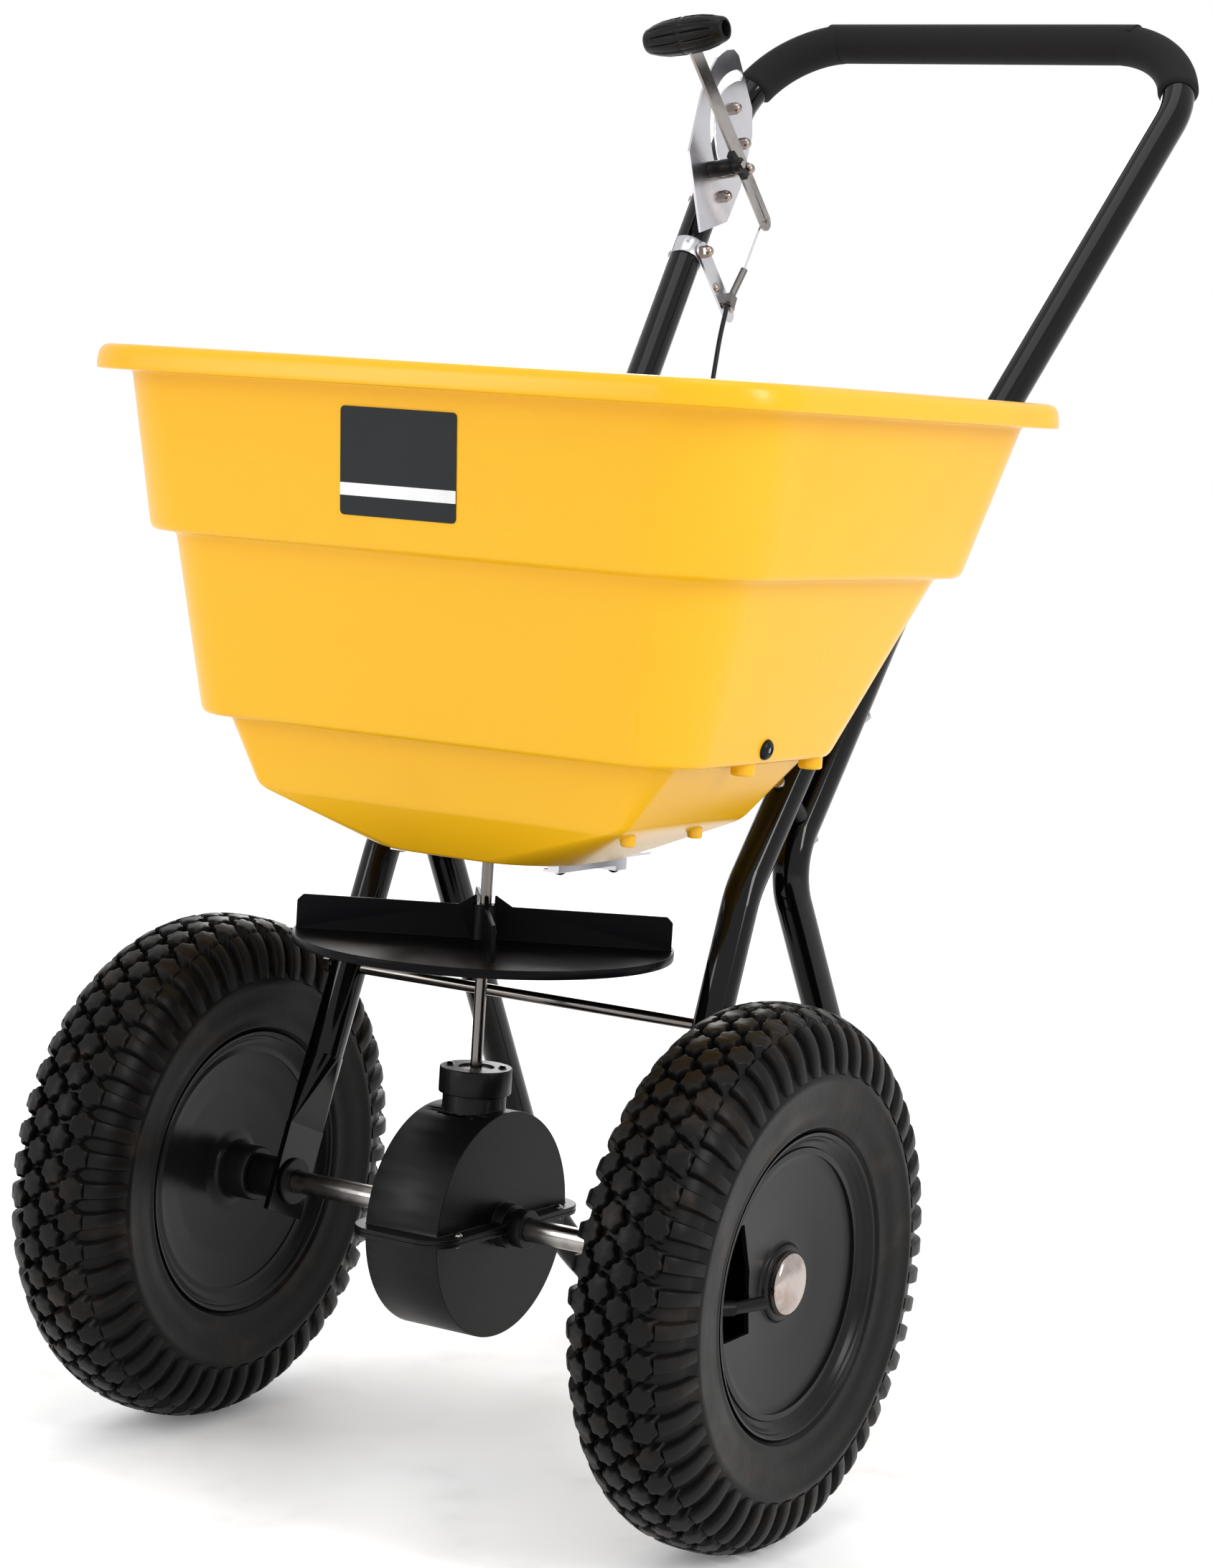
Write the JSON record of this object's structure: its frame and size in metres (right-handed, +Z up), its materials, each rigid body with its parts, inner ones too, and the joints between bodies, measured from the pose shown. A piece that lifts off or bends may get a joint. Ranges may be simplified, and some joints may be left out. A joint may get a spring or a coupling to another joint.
{
  "type": "broadcast spreader",
  "caption": "Walk-behind broadcast spreader: a moulded hopper on a tube frame with a spinning disc geared to its axle, air tyres and a lever that opens the gate.",
  "frame": {"origin": "on the ground, below the middle of the object's width and length", "axes": "+Z up; +Y from the front of the hopper towards the handle, where the person walks; +X along the axle towards the drive wheel"},
  "size_m": [0.539, 0.8258, 1.0488],
  "materials": {
    "yellow_plastic": "glossy rotomoulded polyethylene",
    "label": "printed sheet",
    "zinc": "bright zinc plating",
    "cap_chrome": "bright pressed cap",
    "black_plastic": "satin moulded plastic",
    "natural_plastic": "natural nylon",
    "ferrule": "dull",
    "tyre": "satin rubber",
    "valve_rubber": "satin",
    "dark_rim": "semi-gloss dark grey",
    "black_paint": "gloss black powder coat",
    "foam": "closed-cell foam, matte"
  },
  "bodies": {
    "frame": {"hopper_upper": "yellow_plastic", "hopper_middle": "yellow_plastic", "hopper_lower": "yellow_plastic", "label_plate": "label", "hopper_bolts": "zinc", "hopper_spacers": "black_plastic", "gate_guide": "zinc", "gate_rivets": "zinc", "gate_ferrule": "ferrule", "shaft_bushing": "natural_plastic", "gearbox_upper": "black_plastic", "gearbox_lower": "black_plastic", "gearbox_cap": "black_plastic", "neck_bushing": "natural_plastic", "gearbox_screws": "zinc", "axle_bushings": "black_plastic", "left_front_leg": "black_paint", "right_front_leg": "black_paint", "rear_stand": "black_paint", "handle": "black_paint", "handle_plugs": "black_paint", "frame_spacers": "black_plastic", "frame_bolts": "zinc", "cross_bar": "zinc", "cross_bar_nuts": "zinc", "grip": "foam", "control_plate": "zinc", "control_bolts": "zinc", "stop_sleeve": "black_plastic", "stop_bolt": "zinc", "lever_pivot": "zinc", "cable_strap": "zinc", "cable_arm": "zinc", "cable_bolts": "zinc", "cable_ferrule": "ferrule", "cable_sheath": "black_plastic", "cable_wire": "zinc"},
    "axle": {"axle": "zinc", "crown_gear": "natural_plastic", "axle_collars": "black_plastic", "drive_tyre": "tyre", "drive_rim": "dark_rim", "drive_pin": "zinc", "drive_cap": "cap_chrome", "drive_valve": "valve_rubber"},
    "free_wheel": {"free_tyre": "tyre", "free_rim": "dark_rim", "free_bearing": "natural_plastic", "free_valve": "valve_rubber", "free_cap": "cap_chrome"},
    "spinner": {"agitator": "zinc", "impeller_shaft": "zinc", "impeller": "black_plastic", "impeller_pins": "zinc", "pinion": "natural_plastic"},
    "lever": {"lever": "zinc", "lever_knob": "black_plastic"},
    "gate": {"gate": "zinc", "gate_wire": "zinc"},
    "wing_knob": {"stop_knob": "black_plastic"}
  },
  "joints": [
    {"name": "axle_spin", "type": "hinge", "parent": "frame", "child": "axle", "pos_m": [0, -0.2349, 0.178], "axis": [1, 0, 0], "continuous": true},
    {"name": "free_wheel_spin", "type": "hinge", "parent": "axle", "child": "free_wheel", "pos_m": [-0.224, -0.2349, 0.178], "axis": [1, 0, 0], "continuous": true},
    {"name": "spinner_spin", "type": "hinge", "parent": "frame", "child": "spinner", "pos_m": [0, -0.2349, 0.3635], "axis": [0, 0, 1], "continuous": true},
    {"name": "lever_swing", "type": "hinge", "parent": "frame", "child": "lever", "pos_m": [-0.15109, 0.29114, 0.9213], "axis": [0.9881, 0, 0.154], "range_deg": [-40, 0], "deforming": ["cable_wire"]},
    {"name": "gate_slide", "type": "slide", "parent": "frame", "child": "gate", "axis": [0, 1, 0], "range_m": [-0.016, 0]},
    {"name": "wing_knob_turn", "type": "hinge", "parent": "frame", "child": "wing_knob", "pos_m": [-0.14778, 0.27214, 0.92283], "axis": [0.9881, 0, 0.154], "continuous": true}
  ],
  "couplings": [
    {"joint": "spinner_spin", "follows": "axle_spin", "ratio": 4},
    {"joint": "gate_slide", "follows": "lever_swing", "m_per_rad": 0.022918}
  ]
}
